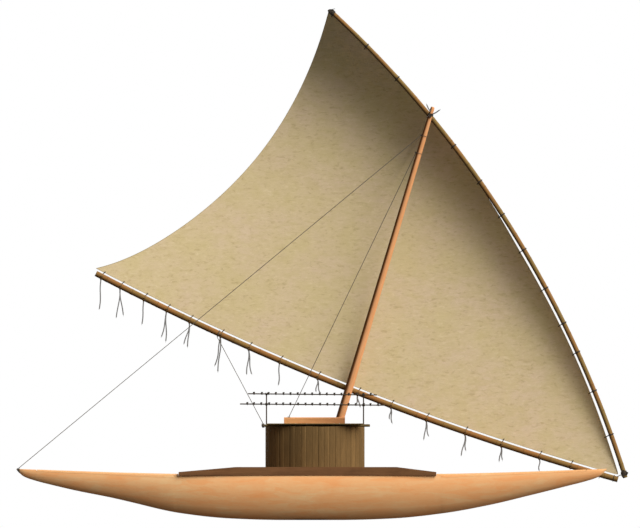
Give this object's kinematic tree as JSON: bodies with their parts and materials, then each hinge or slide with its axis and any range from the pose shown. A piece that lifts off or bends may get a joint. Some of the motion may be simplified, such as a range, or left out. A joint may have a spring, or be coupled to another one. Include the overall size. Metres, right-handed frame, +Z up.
{
  "type": "double-hulled sailing canoe",
  "caption": "Double-hulled sailing canoe with a decked bridge, an oval plank hut and a raked mast carrying a claw-shaped mat sail on a curved yard and boom.",
  "frame": {"origin": "on the ground under the middle of the boat's bounding box", "axes": "+X to the bow, +Z up, -Y to the windward hull"},
  "size_m": [18.6528, 4.186, 15.5683],
  "materials": {
    "hull_wood": "oiled timber",
    "deck_wood": "dark weathered timber",
    "hut_wood": "dark weathered timber",
    "rail_wood": "dark bark",
    "spar_wood": "jointed poles",
    "rope": "plaited fibre cord",
    "sail_mat": "woven matting"
  },
  "bodies": {
    "hull": {"near_hull": "hull_wood", "far_hull": "hull_wood", "near_bow_cover": "hull_wood", "far_bow_cover": "hull_wood", "near_stern_cover": "hull_wood", "far_stern_cover": "hull_wood", "near_side_board": "deck_wood", "far_side_board": "deck_wood", "crossbeams": "deck_wood", "deck_planks": "deck_wood", "stern_ramp_planks": "deck_wood", "bow_ramp_planks": "deck_wood", "hut_staves": "hut_wood", "upper_hoop": "hut_wood", "lower_hoop": "hut_wood", "near_roof_pole": "hut_wood", "far_roof_pole": "hut_wood", "roof_slats": "hut_wood", "rail_posts": "rail_wood", "upper_rail": "rail_wood", "lower_rail": "rail_wood", "mast_step": "hull_wood", "mast": "hull_wood", "masthead_strop": "rope", "windward_backstay": "rope", "step_stay": "rope", "sheet": "rope", "tack_bridle": "rope", "bow_pegs": "hull_wood"},
    "rig": {"yard": "spar_wood", "boom": "spar_wood", "sail": "sail_mat", "boom_lashings": "rope", "yard_lashings": "rope", "tack_lashing": "rope"}
  },
  "joints": [
    {"name": "rig_swing", "type": "hinge", "parent": "hull", "child": "rig", "pos_m": [8.47455, 0.245, 1.3909], "axis": [0.4288, 0, -0.9034], "range_deg": [0, 75], "deforming": ["sheet", "tack_bridle"]}
  ]
}
